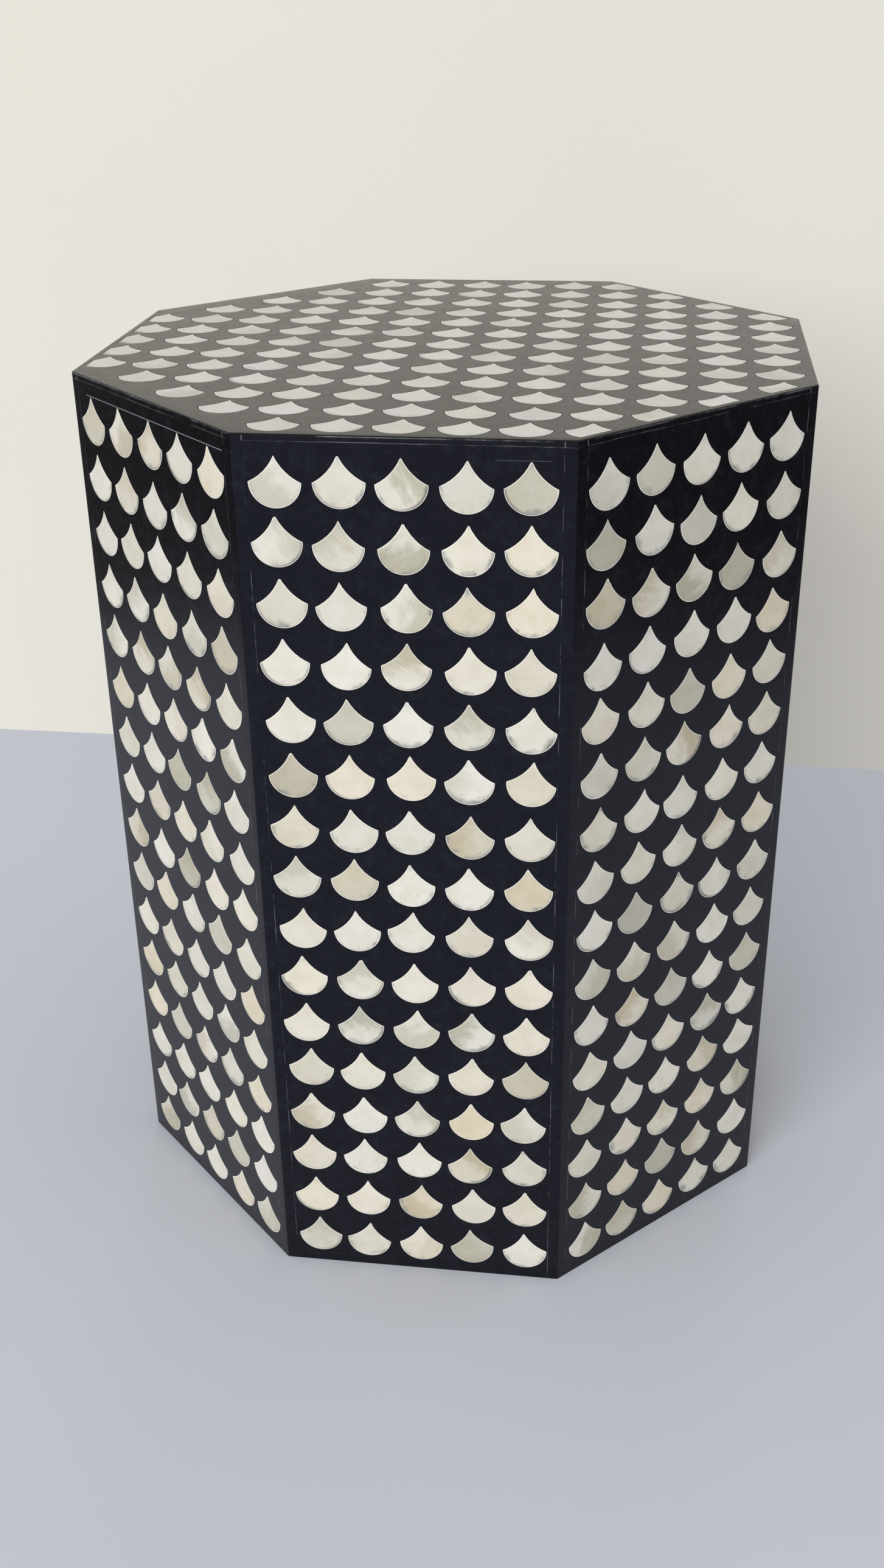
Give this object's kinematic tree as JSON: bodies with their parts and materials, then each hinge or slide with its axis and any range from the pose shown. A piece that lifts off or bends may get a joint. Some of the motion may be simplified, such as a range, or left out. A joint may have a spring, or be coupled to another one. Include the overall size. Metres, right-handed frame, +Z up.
{
  "type": "side table",
  "caption": "Octagonal drum side table with straight walls and a flat top, bone scales inlaid in black resin over a mitred board carcass.",
  "frame": {"origin": "on the floor, under the middle of the drum", "axes": "+Z up the drum's axis, -Y out of wall 1, which is the front in the picture, +X to the right"},
  "size_m": [0.3556, 0.3556, 0.4572],
  "materials": {
    "bone": "polished ivory-coloured bone with grey and beige mottling",
    "black_resin": "sanded and waxed black polyester resin, satin gloss",
    "fibreboard": "raw medium density fibreboard",
    "plywood": "raw hardwood plywood",
    "softwood": "sawn pine",
    "zinc_steel": "zinc plated steel"
  },
  "bodies": {
    "root": {"wall_panel_1": "fibreboard", "mitre_spline_1": "plywood", "corner_block_1": "softwood", "corner_strip_1": "black_resin", "resin_field_1": "black_resin", "bone_scales_wall_1": "bone", "wall_panel_2": "fibreboard", "mitre_spline_2": "plywood", "corner_block_2": "softwood", "corner_strip_2": "black_resin", "resin_field_2": "black_resin", "bone_scales_wall_2": "bone", "wall_panel_3": "fibreboard", "mitre_spline_3": "plywood", "corner_block_3": "softwood", "corner_strip_3": "black_resin", "resin_field_3": "black_resin", "bone_scales_wall_3": "bone", "wall_panel_4": "fibreboard", "mitre_spline_4": "plywood", "corner_block_4": "softwood", "corner_strip_4": "black_resin", "resin_field_4": "black_resin", "bone_scales_wall_4": "bone", "wall_panel_5": "fibreboard", "mitre_spline_5": "plywood", "corner_block_5": "softwood", "corner_strip_5": "black_resin", "resin_field_5": "black_resin", "bone_scales_wall_5": "bone", "wall_panel_6": "fibreboard", "mitre_spline_6": "plywood", "corner_block_6": "softwood", "corner_strip_6": "black_resin", "resin_field_6": "black_resin", "bone_scales_wall_6": "bone", "wall_panel_7": "fibreboard", "mitre_spline_7": "plywood", "corner_block_7": "softwood", "corner_strip_7": "black_resin", "resin_field_7": "black_resin", "bone_scales_wall_7": "bone", "wall_panel_8": "fibreboard", "mitre_spline_8": "plywood", "corner_block_8": "softwood", "corner_strip_8": "black_resin", "resin_field_8": "black_resin", "bone_scales_wall_8": "bone", "top_board": "fibreboard", "base_board": "plywood", "top_screws": "zinc_steel", "base_screws": "zinc_steel", "resin_top": "black_resin", "bone_scales_top": "bone"}
  },
  "joints": []
}
